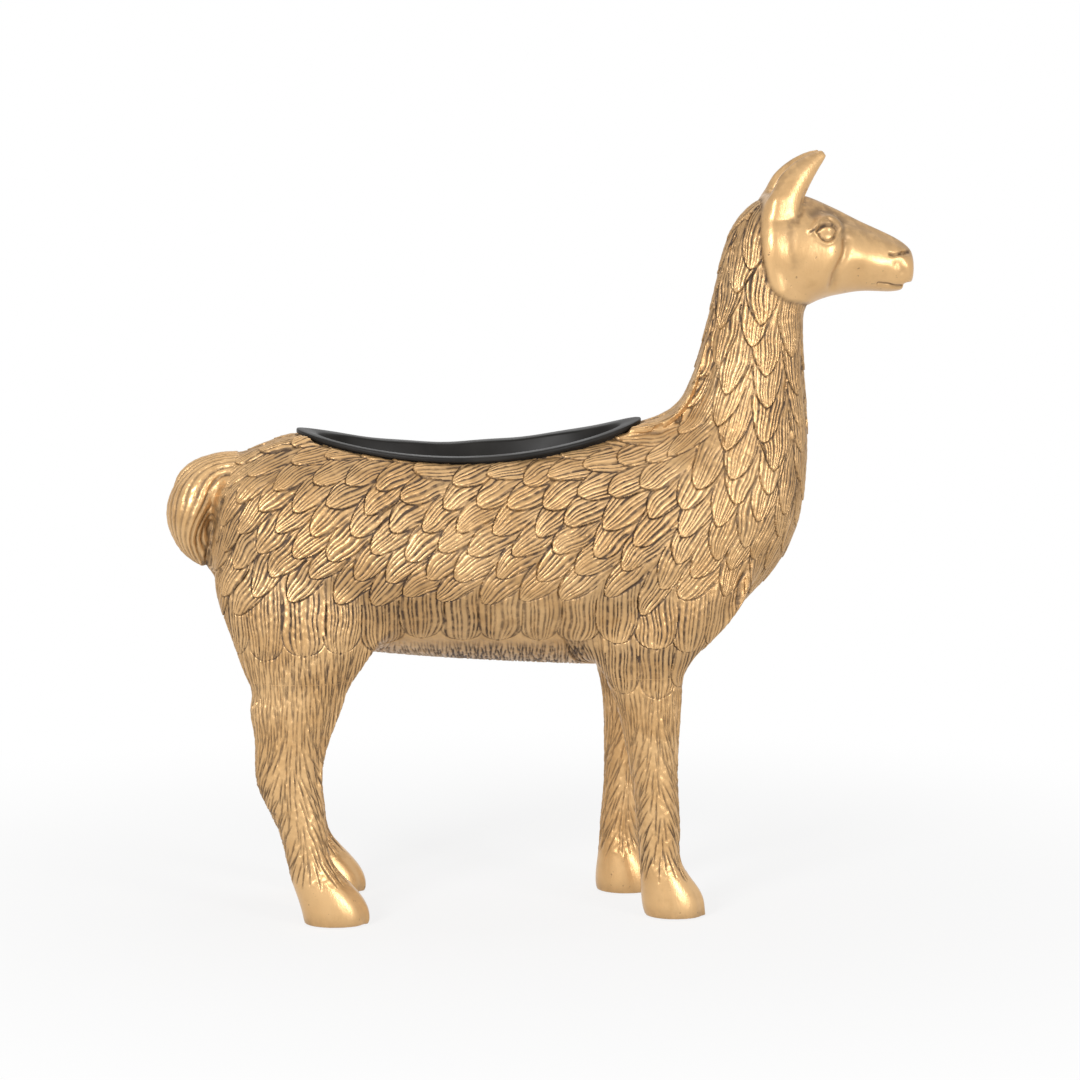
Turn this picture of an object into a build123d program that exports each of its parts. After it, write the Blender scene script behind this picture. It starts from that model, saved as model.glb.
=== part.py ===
import os
from math import cos, pi, sin

from build123d import *

# A standing llama planter: cast resin pieces pinned and glued together, with a lift-out liner in its back.
# X runs from tail to nose, Y to the animal's left, Z up. The floor is at zero. Lengths are in millimetres.

# Overall sizes of the figure
LENGTH = 380.0
WIDTH = 118.0
HEIGHT = 387.5

# Casting walls and fits
SHELL_WALL = 5.0
GLUE_GAP = 0.15
CUT_OVERRUN = 20.0

# Leg joints
LEG_JOINT_HEIGHT = 124.0
FRONT_STRIDE = 19.5
ROD_DIAMETER = 6.0
ROD_SOCKET_DEPTH = 12.0
ROD_END_HEIGHT = 24.0
ANKLE_ROW = -5

# Neck joint: the back of the head and the rounded jaw are bedded in a notch in the neck
JAW_CORNER_RADIUS = 22.0
NECK_DOWEL_DIAMETER = 8.0
NECK_DOWEL_LENGTH = 36.0

# Eyes, mouth and nostrils
EYE_DIAMETER = 10.0
EYE_PROUD = 1.8
MOUTH_DEPTH = 17.0
MOUTH_HEIGHT = 1.0
LIP_SETBACK = 5.0
NOSTRIL_DIAMETER = 2.4

# Liner and the opening that it hangs in
LINER_LENGTH = 175.0
LINER_WIDTH = 86.0
LINER_DEPTH = 70.0
LINER_WALL = 1.4
LINER_DRAFT = 7.0
RIM_WIDTH = 9.0
RIM_HEIGHT = 2.6
LINER_CLEARANCE = 1.5
SADDLE_SAG = 13.0
SEAT_GAP = 0.1

# Felt pads let into the hooves
PAD_DIAMETER = 17.0
PAD_THICKNESS = 1.6
PAD_RECESS = 1.0

# Steps from one end of an oval section to the other
OVAL_STEPS = 8

# Torso and neck, tail end first: place of the back line along and up, place of the belly line along and up,
# and the half width, as shares of the length, height, length, height and width
BODY_SECTION_SHARES = (
    (-0.437, 0.552, -0.437, 0.459, 0.119),
    (-0.432, 0.575, -0.432, 0.426, 0.220),
    (-0.416, 0.596, -0.416, 0.395, 0.314),
    (-0.384, 0.614, -0.387, 0.369, 0.398),
    (-0.321, 0.635, -0.321, 0.354, 0.466),
    (-0.224, 0.645, -0.224, 0.343, 0.496),
    (-0.095, 0.648, -0.095, 0.332, 0.500),
    (0.026, 0.648, 0.032, 0.325, 0.492),
    (0.100, 0.646, 0.126, 0.325, 0.470),
    (0.145, 0.648, 0.213, 0.347, 0.436),
    (0.174, 0.661, 0.276, 0.405, 0.394),
    (0.189, 0.676, 0.328, 0.462, 0.347),
    (0.200, 0.697, 0.354, 0.534, 0.305),
    (0.209, 0.723, 0.361, 0.622, 0.267),
    (0.218, 0.756, 0.357, 0.692, 0.237),
    (0.228, 0.797, 0.354, 0.761, 0.216),
    (0.238, 0.844, 0.358, 0.821, 0.203),
    (0.252, 0.890, 0.361, 0.872, 0.191),
    (0.276, 0.925, 0.350, 0.916, 0.158),
    (0.301, 0.944, 0.332, 0.940, 0.085),
)

# The casting is hollow between these two sections and solid at the rump and the top of the neck
HOLLOW_FIRST = 3
HOLLOW_LAST = 14

# Haunch and shoulder above the leg joint: height as a share of the overall height, rear and front edge
# as shares of the length, half width and distance from the middle as shares of the width
HAUNCH_SHARES = (
    (0.356, -0.408, -0.226, 0.169, 0.301),
    (0.400, -0.425, -0.200, 0.195, 0.280),
    (0.452, -0.437, -0.189, 0.203, 0.246),
    (0.503, -0.416, -0.211, 0.178, 0.220),
)
SHOULDER_SHARES = (
    (0.356, 0.058, 0.216, 0.161, 0.258),
    (0.400, 0.047, 0.258, 0.178, 0.246),
    (0.452, 0.058, 0.279, 0.169, 0.229),
    (0.495, 0.092, 0.258, 0.136, 0.203),
)

# Legs from the joint down to the sole: height as a share of the leg, then as for the haunch
REAR_LEG_SHARES = (
    (1.000, -0.396, -0.251, 0.148, 0.314),
    (0.903, -0.389, -0.267, 0.136, 0.315),
    (0.782, -0.385, -0.282, 0.123, 0.319),
    (0.661, -0.384, -0.293, 0.110, 0.322),
    (0.565, -0.381, -0.295, 0.103, 0.324),
    (0.468, -0.367, -0.293, 0.097, 0.326),
    (0.355, -0.351, -0.289, 0.092, 0.329),
    (0.250, -0.343, -0.282, 0.095, 0.331),
    (0.177, -0.337, -0.263, 0.107, 0.332),
    (0.105, -0.329, -0.243, 0.117, 0.333),
    (0.040, -0.323, -0.234, 0.120, 0.333),
    (0.000, -0.320, -0.236, 0.115, 0.333),
)
FRONT_LEG_SHARES = (
    (1.000, 0.077, 0.187, 0.136, 0.267),
    (0.903, 0.093, 0.183, 0.123, 0.267),
    (0.782, 0.104, 0.181, 0.112, 0.267),
    (0.645, 0.112, 0.179, 0.105, 0.267),
    (0.484, 0.120, 0.180, 0.100, 0.267),
    (0.323, 0.124, 0.182, 0.095, 0.267),
    (0.234, 0.127, 0.183, 0.097, 0.267),
    (0.169, 0.129, 0.193, 0.107, 0.267),
    (0.105, 0.130, 0.208, 0.115, 0.267),
    (0.040, 0.132, 0.215, 0.119, 0.267),
    (0.000, 0.136, 0.216, 0.114, 0.267),
)

# Head, back of the skull first: place along, top and bottom, half width
HEAD_SECTION_SHARES = (
    (0.263, 0.921, 0.821, 0.174),
    (0.289, 0.935, 0.808, 0.199),
    (0.318, 0.942, 0.797, 0.216),
    (0.347, 0.941, 0.794, 0.220),
    (0.374, 0.932, 0.803, 0.212),
    (0.400, 0.920, 0.810, 0.182),
    (0.426, 0.907, 0.814, 0.147),
    (0.453, 0.895, 0.814, 0.125),
    (0.476, 0.884, 0.814, 0.117),
    (0.492, 0.873, 0.819, 0.100),
    (0.499, 0.862, 0.828, 0.064),
)
JAW_CORNER_SHARES = (0.291, 0.788)
NECK_DOWEL_FOOT_SHARES = (0.287, 0.756)
NECK_DOWEL_LEAN_SHARE = 0.30
EYE_PLACE_SHARES = (0.3755, 0.896)
EYE_SURFACE_SHARE = 0.190
MOUTH_UP_SHARE = 0.824
NOSTRIL_BACK_SHARES = (0.462, 0.864, 0.113)
NOSTRIL_FRONT_SHARES = (0.497, 0.866, 0.068)

# Ear, root first: middle of the section along, up and out, half breadth of the length, half thickness of the width
EAR_SECTION_SHARES = (
    (0.316, 0.888, 0.125, 0.0240, 0.048),
    (0.318, 0.907, 0.130, 0.0250, 0.052),
    (0.321, 0.929, 0.125, 0.0245, 0.052),
    (0.330, 0.949, 0.113, 0.0220, 0.046),
    (0.345, 0.969, 0.097, 0.0180, 0.038),
    (0.361, 0.984, 0.080, 0.0125, 0.028),
    (0.377, 0.995, 0.068, 0.0050, 0.013),
)
EAR_SCOOP_SHARE = 0.60
EAR_SCOOP_FORWARD_SHARE = 0.42
EAR_SCOOP_INWARD_SHARE = 0.75
EAR_SCOOP_FIRST = 2
EAR_SCOOP_LAST = 5

# Tail, root first: middle of the section along and up, half depth of the length, half width
TAIL_SECTION_SHARES = (
    (-0.399, 0.586, 0.0260, 0.110),
    (-0.427, 0.580, 0.0285, 0.136),
    (-0.454, 0.557, 0.0320, 0.158),
    (-0.467, 0.529, 0.0325, 0.161),
    (-0.468, 0.501, 0.0260, 0.136),
    (-0.462, 0.477, 0.0170, 0.093),
    (-0.455, 0.462, 0.0060, 0.034),
)

# Seat of the liner: middle of the opening along, where the saddle is lowest, and the height of the rim top there
LINER_MIDDLE_SHARE = -0.095
SADDLE_LOW_SHARE = -0.113
RIM_LOW_SHARE = 0.609

SIDES = {"left": 1, "right": -1}
ALONG = Vector(1, 0, 0)
ACROSS = Vector(0, 1, 0)
UPWARD = Vector(0, 0, 1)
FROM_LOW_BACK = (Align.MIN, Align.CENTER, Align.MIN)


def oval(middle, depth_axis, side_axis, half_depth, half_side):
    """Oval face drawn as two halves that meet smoothly at the ends of its depth."""
    halves = []
    for side in (1, -1):
        points = []
        for step in range(OVAL_STEPS + 1):
            angle = pi * step / OVAL_STEPS
            deep = depth_axis * (side * half_depth * cos(angle))
            wide = side_axis * (side * half_side * sin(angle))
            points.append(middle + deep + wide)
        halves.append(Spline(*points, tangents=(side_axis * side, side_axis * -side)))
    return make_face(halves)


def rod_between(foot, direction, length, diameter):
    plane = Plane(origin=foot, z_dir=direction)
    return plane * Cylinder(diameter / 2, length, align=(Align.CENTER, Align.CENTER, Align.MIN))


# Torso and neck

def body_section(row, inset):
    back_along, back_up, belly_along, belly_up, half_width = row
    back = Vector(back_along * LENGTH, 0, back_up * HEIGHT)
    belly = Vector(belly_along * LENGTH, 0, belly_up * HEIGHT)
    depth = back - belly
    return oval((back + belly) * 0.5, depth.normalized(), ACROSS, depth.length / 2 - inset, half_width * WIDTH - inset)


def body_form():
    return loft([body_section(row, 0) for row in BODY_SECTION_SHARES])


def body_hollow():
    rows = BODY_SECTION_SHARES[HOLLOW_FIRST:HOLLOW_LAST + 1]
    return loft([body_section(row, SHELL_WALL) for row in rows])


def leg_oval(row, height, side, set_back):
    rear = row[1] * LENGTH - set_back
    front = row[2] * LENGTH - set_back
    middle = Vector((rear + front) / 2, side * row[4] * WIDTH, height)
    return oval(middle, ALONG, ACROSS, (front - rear) / 2, row[3] * WIDTH)


def stump(leg_rows, upper_rows, side):
    sections = [leg_oval(leg_rows[0], LEG_JOINT_HEIGHT, side, 0)]
    for row in upper_rows:
        sections.append(leg_oval(row, row[0] * HEIGHT, side, 0))
    return loft(sections)


# Legs

def sole_height():
    return PAD_THICKNESS - PAD_RECESS


def leg_middle(rows, index, side, stride):
    row = rows[index]
    set_back = stride * (1 - row[0])
    along = (row[1] + row[2]) / 2 * LENGTH - set_back
    height = sole_height() + row[0] * (LEG_JOINT_HEIGHT - sole_height())
    return Vector(along, side * row[4] * WIDTH, height)


def leg_form(rows, side, stride):
    sections = []
    for index, row in enumerate(rows):
        height = leg_middle(rows, index, side, stride).Z
        sections.append(leg_oval(row, height, side, stride * (1 - row[0])))
    return loft(sections)


def leg_rod(rows, side, stride, clearance):
    top = leg_middle(rows, 0, side, stride)
    direction = (top - leg_middle(rows, ANKLE_ROW, side, stride)).normalized()
    foot = top - direction * ((LEG_JOINT_HEIGHT - ROD_END_HEIGHT + clearance) / direction.Z)
    length = (LEG_JOINT_HEIGHT + ROD_SOCKET_DEPTH + clearance - foot.Z) / direction.Z
    return rod_between(foot, direction, length, ROD_DIAMETER + 2 * clearance)


def foot_pad(rows, side, stride, clearance):
    sole = leg_middle(rows, -1, side, stride)
    foot = Vector(sole.X, sole.Y, 0)
    return rod_between(foot, UPWARD, PAD_THICKNESS, PAD_DIAMETER + 2 * clearance)


def leg(rows, side, stride):
    form = leg_form(rows, side, stride)
    return form - leg_rod(rows, side, stride, GLUE_GAP) - foot_pad(rows, side, stride, GLUE_GAP)


# Head, ears and tail

def jaw_notch(clearance):
    """Block of space that the head takes, upright behind and rounded under the jaw."""
    along, up = JAW_CORNER_SHARES
    back = along * LENGTH - clearance
    bottom = up * HEIGHT - clearance
    radius = JAW_CORNER_RADIUS
    corner = Vector(back + radius, -WIDTH, bottom + radius)
    round_jaw = rod_between(corner, ACROSS, 2 * WIDTH, 2 * radius)
    behind = Pos(back, 0, bottom + radius) * Box(LENGTH, 2 * WIDTH, HEIGHT, align=FROM_LOW_BACK)
    below = Pos(back + radius, 0, bottom) * Box(LENGTH, 2 * WIDTH, HEIGHT, align=FROM_LOW_BACK)
    return round_jaw + behind + below


def neck_dowel(clearance):
    along, up = NECK_DOWEL_FOOT_SHARES
    direction = Vector(NECK_DOWEL_LEAN_SHARE, 0, 1).normalized()
    foot = Vector(along * LENGTH, 0, up * HEIGHT) - direction * clearance
    return rod_between(foot, direction, NECK_DOWEL_LENGTH + 2 * clearance, NECK_DOWEL_DIAMETER + 2 * clearance)


def head_form():
    sections = []
    for along, top, bottom, half_width in HEAD_SECTION_SHARES:
        middle = Vector(along * LENGTH, 0, (top + bottom) / 2 * HEIGHT)
        half_depth = (top - bottom) / 2 * HEIGHT
        sections.append(oval(middle, UPWARD, ACROSS, half_depth, half_width * WIDTH))
    return loft(sections)


def eyeball(side):
    along, up = EYE_PLACE_SHARES
    out = EYE_SURFACE_SHARE * WIDTH + EYE_PROUD - EYE_DIAMETER / 2
    return Pos(along * LENGTH, side * out, up * HEIGHT) * Sphere(EYE_DIAMETER / 2)


def mouth():
    """Slit between the lips, and the space in front of the shorter lower lip."""
    front = HEAD_SECTION_SHARES[-1][0] * LENGTH
    line = MOUTH_UP_SHARE * HEIGHT
    slit = Box(MOUTH_DEPTH + CUT_OVERRUN, WIDTH, MOUTH_HEIGHT, align=FROM_LOW_BACK)
    step = Box(LIP_SETBACK + CUT_OVERRUN, WIDTH, CUT_OVERRUN, align=FROM_LOW_BACK)
    return Pos(front - MOUTH_DEPTH, 0, line) * slit + Pos(front - LIP_SETBACK, 0, line - CUT_OVERRUN) * step


def nostril(side):
    ends = []
    for along, up, out in (NOSTRIL_BACK_SHARES, NOSTRIL_FRONT_SHARES):
        ends.append(Vector(along * LENGTH, side * out * WIDTH, up * HEIGHT))
    run = ends[1] - ends[0]
    return rod_between(ends[0], run.normalized(), run.length, NOSTRIL_DIAMETER)


def ear_middle(index, side):
    along, up, out = EAR_SECTION_SHARES[index][:3]
    return Vector(along * LENGTH, side * out * WIDTH, up * HEIGHT)


def ear_section(index, side, growth, size_share, forward_share, inward_share):
    last = len(EAR_SECTION_SHARES) - 1
    rise = ear_middle(min(index + 1, last), side) - ear_middle(max(index - 1, 0), side)
    breadth_axis = rise.cross(ACROSS).normalized() * -1
    thick_axis = breadth_axis.cross(rise).normalized()
    half_breadth = EAR_SECTION_SHARES[index][3] * LENGTH
    half_thick = EAR_SECTION_SHARES[index][4] * WIDTH
    middle = ear_middle(index, side) + breadth_axis * (half_breadth * forward_share)
    if index == 0:
        middle = middle - rise.normalized() * growth
    middle = middle - ACROSS * (side * half_thick * inward_share)
    return oval(middle, breadth_axis, thick_axis, half_breadth * size_share + growth, half_thick * size_share + growth)


def ear_form(side, growth):
    return loft([ear_section(index, side, growth, 1, 0, 0) for index in range(len(EAR_SECTION_SHARES))])


def ear(side):
    shares = (EAR_SCOOP_SHARE, EAR_SCOOP_FORWARD_SHARE, EAR_SCOOP_INWARD_SHARE)
    scoop_rows = range(EAR_SCOOP_FIRST, EAR_SCOOP_LAST + 1)
    scoop = loft([ear_section(index, side, 0, *shares) for index in scoop_rows])
    return ear_form(side, 0) - scoop


def head():
    """Skull and muzzle, together with the top of the neck that the jaw grows out of."""
    form = (head_form() + body_form()) & jaw_notch(-GLUE_GAP)
    for side in SIDES.values():
        form = form + eyeball(side) - nostril(side)
    for side in SIDES.values():
        form = form - ear_form(side, GLUE_GAP)
    return form - mouth() - neck_dowel(GLUE_GAP)


def tail_middle(index):
    along, up = TAIL_SECTION_SHARES[index][:2]
    return Vector(along * LENGTH, 0, up * HEIGHT)


def tail(growth):
    last = len(TAIL_SECTION_SHARES) - 1
    sections = []
    for index, row in enumerate(TAIL_SECTION_SHARES):
        run = (tail_middle(min(index + 1, last)) - tail_middle(max(index - 1, 0))).normalized()
        middle = tail_middle(index)
        if index == 0:
            middle = middle - run * growth
        depth_axis = run.cross(ACROSS)
        sections.append(oval(middle, depth_axis, ACROSS, row[2] * LENGTH + growth, row[3] * WIDTH + growth))
    return loft(sections)


# Liner and its seat

def seat_radius():
    half_chord = LINER_LENGTH / 2
    return (half_chord * half_chord + SADDLE_SAG * SADDLE_SAG) / (2 * SADDLE_SAG)


def above_saddle(rise):
    """All that lies above the saddle-shaped seat, raised by the given amount."""
    seat_low = RIM_LOW_SHARE * HEIGHT - RIM_HEIGHT
    axis_start = Vector(SADDLE_LOW_SHARE * LENGTH, -WIDTH, seat_low + seat_radius())
    return rod_between(axis_start, ACROSS, 2 * WIDTH, 2 * (seat_radius() - rise))


def opening_prism(inset):
    """Upright oval column over the opening, set in from the edge of the liner's rim."""
    floor = Vector(LINER_MIDDLE_SHARE * LENGTH, 0, RIM_LOW_SHARE * HEIGHT - LINER_DEPTH - CUT_OVERRUN)
    face = oval(floor, ACROSS, ALONG, LINER_WIDTH / 2 - inset, LINER_LENGTH / 2 - inset)
    return extrude(face, LINER_DEPTH + SADDLE_SAG + 2 * CUT_OVERRUN, dir=UPWARD)


def basin(inset, floor_rise):
    """Tapered tub below the rim, from its floor to above the rim."""
    bottom = RIM_LOW_SHARE * HEIGHT - LINER_DEPTH + floor_rise
    top = RIM_LOW_SHARE * HEIGHT + SADDLE_SAG + CUT_OVERRUN
    slope = LINER_DRAFT / LINER_DEPTH
    sections = []
    for height in (bottom, top):
        draw_in = RIM_WIDTH + inset + slope * (RIM_LOW_SHARE * HEIGHT - height)
        middle = Vector(LINER_MIDDLE_SHARE * LENGTH, 0, height)
        half_length = LINER_LENGTH / 2 - draw_in
        half_width = LINER_WIDTH / 2 - draw_in
        sections.append(oval(middle, ACROSS, ALONG, half_width, half_length))
    return loft(sections)


def liner():
    rim = opening_prism(0) & (above_saddle(SEAT_GAP) - above_saddle(RIM_HEIGHT))
    underside = opening_prism(LINER_WALL) & (above_saddle(0) - above_saddle(RIM_HEIGHT - LINER_WALL))
    tub = basin(0, 0) - above_saddle(RIM_HEIGHT)
    return (rim - underside + tub) - basin(LINER_WALL, LINER_WALL)


def body_shell():
    form = body_form()
    for side in SIDES.values():
        form = form + stump(REAR_LEG_SHARES, HAUNCH_SHARES, side)
        form = form + stump(FRONT_LEG_SHARES, SHOULDER_SHARES, side)
    form = form - jaw_notch(0)
    form = form - (opening_prism(-LINER_CLEARANCE) & above_saddle(0))
    form = form - body_hollow() - opening_prism(RIM_WIDTH - LINER_CLEARANCE)
    for rows, side, stride in LEGS.values():
        form = form - leg_rod(rows, side, stride, GLUE_GAP)
    return form - neck_dowel(GLUE_GAP) - tail(GLUE_GAP)


LEGS = {
    "front_left": (FRONT_LEG_SHARES, SIDES["left"], FRONT_STRIDE),
    "front_right": (FRONT_LEG_SHARES, SIDES["right"], 0),
    "rear_left": (REAR_LEG_SHARES, SIDES["left"], 0),
    "rear_right": (REAR_LEG_SHARES, SIDES["right"], 0),
}


def all_pieces():
    pieces = {"body_shell": body_shell(), "head": head(), "tail": tail(0)}
    pieces["neck_dowel"] = neck_dowel(0)
    pieces["liner"] = liner()
    for name, side in SIDES.items():
        pieces["ear_" + name] = ear(side)
    for name, (rows, side, stride) in LEGS.items():
        pieces["leg_" + name] = leg(rows, side, stride)
        pieces["leg_rod_" + name] = leg_rod(rows, side, stride, 0)
        pieces["foot_pad_" + name] = foot_pad(rows, side, stride, 0)
    return pieces


os.makedirs("parts", exist_ok=True)
for node, shape in all_pieces().items():
    export_step(shape, "parts/" + node + ".step")
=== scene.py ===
import math

import bpy
import numpy as np
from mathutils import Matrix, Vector


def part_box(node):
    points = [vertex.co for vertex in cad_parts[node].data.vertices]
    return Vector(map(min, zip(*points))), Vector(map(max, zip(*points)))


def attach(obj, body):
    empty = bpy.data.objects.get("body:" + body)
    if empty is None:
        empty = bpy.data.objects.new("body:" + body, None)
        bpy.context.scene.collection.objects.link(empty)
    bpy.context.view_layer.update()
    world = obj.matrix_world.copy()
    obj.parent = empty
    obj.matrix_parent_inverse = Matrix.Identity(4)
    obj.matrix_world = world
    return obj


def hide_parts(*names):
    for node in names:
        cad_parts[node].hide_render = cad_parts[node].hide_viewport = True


# The llama planter. The CAD castings are fused into one skin, the fleece and the face are carved into it,
# and the skin is parted into the castings again. Carving works in millimetres in the frame of the CAD:
# X to the nose, Y to the animal's left, Z up.

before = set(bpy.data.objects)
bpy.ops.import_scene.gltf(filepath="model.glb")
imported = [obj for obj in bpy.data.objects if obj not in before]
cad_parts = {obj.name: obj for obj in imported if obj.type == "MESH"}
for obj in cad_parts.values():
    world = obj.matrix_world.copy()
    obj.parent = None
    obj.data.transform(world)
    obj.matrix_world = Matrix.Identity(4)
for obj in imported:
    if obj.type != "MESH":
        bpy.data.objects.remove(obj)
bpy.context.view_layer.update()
random = np.random.default_rng(7)

MM = 0.001
LEGS = ("front_left", "front_right", "rear_left", "rear_right")

# Fineness of the meshes, and how far they are smoothed
SKIN_VOXEL = 0.9
CELL = 12.0
CURVE_STEPS = 4
OVAL_STEPS = 128
BALL_RINGS = 24
RIM_STATIONS = 40
SMOOTHING = 9.0
BLENDING = 120.0
SKIN_SHARP_ANGLE = 75
LINER_SHARP_ANGLE = 50

# Opening in the back
LID_INSET = 3.0
CUT_INSET = 5.0
CUT_DRAFT = 4.0
SEAT_BELOW_RIM = 2.6
LID_BELOW_SEAT = 0.4
LID_THICKNESS = 30.0
CUT_BELOW_LINER = 2.5
CUT_EDGE = 1.5

# Liner: its wall, the fillet and the rings above its floor, and the wave of the far rim
LINER_WALL = 1.4
LINER_WALL_INSET = 9.0
LINER_SLOPE = 0.1
LINER_FILLET = 5.0
LINER_FILLET_STEPS = 6
LINER_RINGS = (20, 40, 55)
RIM_WAVE = 0.5
RIM_WAVE_TURN = 0.11
RIM_WAVE_START = 0.9
RIM_SWELL_TURN = 0.043

# Profile of the liner's rim: inset from its edge and height above the line of the rim
LINER_RIM = (
    (1.7, -1.4),
    (1.7, -2.4),
    (0.4, -2.4),
    (0.0, -2.0),
    (0.0, -0.7),
    (0.25, -0.2),
    (0.8, 0.0),
    (5.0, -0.1),
    (9.3, -0.1),
    (10.1, -0.4),
    (10.5, -1.2),
)

# Heights that part the fleece, the skirt of scallops, the hair of the legs and the hooves
SKIRT_TOP = 165.0
HEM_HEIGHT = 141.0
SECOND_HEM_HEIGHT = 117.0
CUFF_BACK = 20.0
LEG_JOINT_HEIGHT = 124.0
HOOF_TOP = 21.0
WOOL_ABOVE_SKIRT = 12.0
HAIR_ABOVE_HEM = 8.0
HAIR_ABOVE_HOOF = 11.0
HEM_BLEND = 4.0

# Heights over which one form passes into the next
JOINT_BLEND_LOW = (112, 126)
JOINT_BLEND_HIGH = (185, 205)
HAIR_PARTING = (85, 115)
NECK_BAND = (255, 300)
BELLY_BOTTOM = (112, 122)
SOLE_BAND = (2, 6)
# Height below which the hooves get painted shade, darker towards the floor
HOOF_SHADE_TOP = 9

# Places along X over which the belly begins and ends
BELLY_REAR = (-95, -75)
BELLY_FRONT = (5, 25)

# Lean of the leg hair away from its middle line, and of the band where the neck begins
HAIR_LEAN = 0.6
NECK_LEAN = 0.3

# Blocks that part the skin into castings
BLOCK_ALONG = 220
BLOCK_ACROSS = 100
BLOCK_BOTTOM = -20
LEG_DIVIDE = 10
LEG_BLOCK_OVERLAP = 20

# Camera, fitted to the photo
CAMERA_DISTANCE = 2000.0
CAMERA_HEIGHT = 440.0
CAMERA_AZIMUTH = -3.9
CAMERA_TARGET_HEIGHT = 189.2
CAMERA_LENS = 131.7
CAMERA_SENSOR = 36

# Lamps: place and size in metres, and power
LAMPS = {
    "key": ((-1.3, -2.1, 1.1), 0.9, 45),
    "fill": ((1.5, -2.1, 0.7), 0.9, 27),
    "top": ((0.2, 0.6, 2.2), 1.6, 8),
}
WORLD_LIGHT = (0.34, 0.34, 0.34)
WHITE = (1.0, 1.0, 1.0)

# Floor: size and tone, share of plain white near the object, and where it fades to white, in metres
FLOOR_SIZE = 12
FLOOR_TONE = (0.82, 0.82, 0.82, 1)
FLOOR_LIFT = 0.82
FLOOR_FADE = (0.16, 0.55)

# Colours
GOLD = (0.58, 0.345, 0.145)
PALE_GOLD = (0.68, 0.43, 0.20)
WASHED_GOLD = (0.40, 0.225, 0.085)
# Brown of the wash in the carving, also used for painted shade
BROWN_WASH_AND_SHADE = (0.055, 0.027, 0.010)
BLACK_PLASTIC = (0.012, 0.011, 0.010)
WORN_PLASTIC = (0.024, 0.022, 0.020)
DARK_STEEL = (0.42, 0.42, 0.43)
PALE_STEEL = (0.62, 0.62, 0.63)
DARK_FELT = (0.05, 0.042, 0.036)
PALE_FELT = (0.13, 0.115, 0.10)

# Texture layout for baking: side of the sheet in millimetres, and places of the faces by axis and sign
ATLAS_SIDE = 820.0
ATLAS_PLACES = {
    (1, -1): (10, 10),
    (1, 1): (410, 10),
    (2, 1): (10, 415),
    (2, -1): (410, 415),
    (0, 1): (10, 550),
    (0, -1): (410, 550),
}
ATLAS_AXES = {0: (2, 1), 1: (0, 2), 2: (0, 1)}

# Way the fleece lies, drawn as strokes on the side view: place, then direction
FLOW_GUIDES = (
    (105, 345, -0.15, -1.00),
    (110, 300, -0.05, -1.00),
    (130, 250, -0.10, -1.00),
    (85, 275, -0.30, -0.95),
    (125, 190, -0.55, -0.83),
    (100, 235, -0.35, -0.94),
    (85, 210, -0.60, -0.80),
    (75, 165, -0.70, -0.70),
    (50, 235, -0.92, -0.40),
    (20, 195, -0.80, -0.60),
    (-36, 215, -0.85, -0.52),
    (-36, 170, -0.78, -0.62),
    (-100, 205, -0.80, -0.60),
    (-100, 170, -0.75, -0.66),
    (-140, 228, -0.85, -0.52),
    (-158, 195, -0.50, -0.86),
    (-135, 165, -0.60, -0.80),
)
FLOW_REACH = 32.0

# Tail: its middle line, root first, and the crease where it meets the rump, on the side view
TAIL_LINE = ((-148, 228), (-162, 225), (-172, 216), (-177, 205), (-178, 194), (-176, 185), (-173, 177))
TAIL_CREASE = ((-151, 240), (-153, 234), (-162, 214), (-167, 196), (-170, 181), (-171, 168))
TAIL_GROOVES = 26
TAIL_FRONT = -140.0
TAIL_BACK = -220.0
TAIL_BOTTOM = 160.0
TAIL_TOP = 260.0

# Swellings that carry the line of the back over into the tail and close the tip on the rump:
# middle, then radii
TAIL_SWELLINGS = (
    ((-160.0, 0.0, 216.5), (26.0, 14.0, 19.0)),
    ((-170.0, 0.0, 191.0), (9.5, 10.0, 16.0)),
)

# Reach and strength of the smoothing where the tail, the jaw and the ears join on
TAIL_ROOT_REACH = (15.0, 10.0)
JAW_REACH = 4.0
EAR_ROOT_REACH = 3.0
EAR_ROOT_SHARE = 0.3

# Border between the face and the fleece on the side view, and the block of space that the head takes
FACE_EDGE = (
    (113.0, 372.0),
    (111.4, 362.0),
    (109.8, 353.0),
    (109.8, 339.0),
    (112.0, 327.0),
    (115.3, 318.0),
    (122.3, 312.5),
    (131.8, 310.0),
    (145.0, 306.0),
)
EAR_ROOT_HEIGHT = 360.0
HEAD_BACK = 110.6
HEAD_BOTTOM = 305.4
JAW_RADIUS = 22.0
HEAD_FRONT = 260.0
HEAD_TOP = 420.0

# Depths inside that border: where the face firms up, and the depth that stands for places far from it
FACE_FIRM = (2, 8)
FAR_OUTSIDE = -420.0

# Kinds of tuft, in millimetres; a tuft of higher rank lies on top
FLEECE = dict(length=23, half_width=8.2, strands=7, lift=0.75, bend=2.0, turn=0.12, blunt=0.25, rank=4)
NECK = dict(length=27, half_width=8.6, strands=8, lift=0.7, bend=0.6, turn=0.06, blunt=0.1, rank=4)
SKIRT = dict(length=31, half_width=10.4, strands=9, lift=0.7, bend=0.0, turn=0.03, blunt=1.0, rank=2)
CUFF = dict(length=26, half_width=9.0, strands=8, lift=0.6, bend=0.0, turn=0.03, blunt=1.0, rank=0)
HAIR = dict(length=14, half_width=0.55, strands=1, lift=0.0, bend=0.6, turn=0.16, blunt=0.0, rank=0)

# Distances between tufts, down the animal and along the row
FLEECE_GAPS = (13.5, 16.0)
NECK_GAPS = (14.5, 19.5)
SKIRT_GAPS = (60.0, 19.0)
HAIR_GAPS = (8.5, 1.4)

# Drop of a scallop as a share of its length, and half the height of the band that its root is picked from
SCALLOP_DROP = 0.94
SCALLOP_BAND = 1.5

# How far tufts differ from their kind
SIZE_SPREAD = 0.08
STRAND_SPREAD = 0.2
LIFT_SPREAD = 0.2
BEND_SPREAD = 0.8

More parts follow.
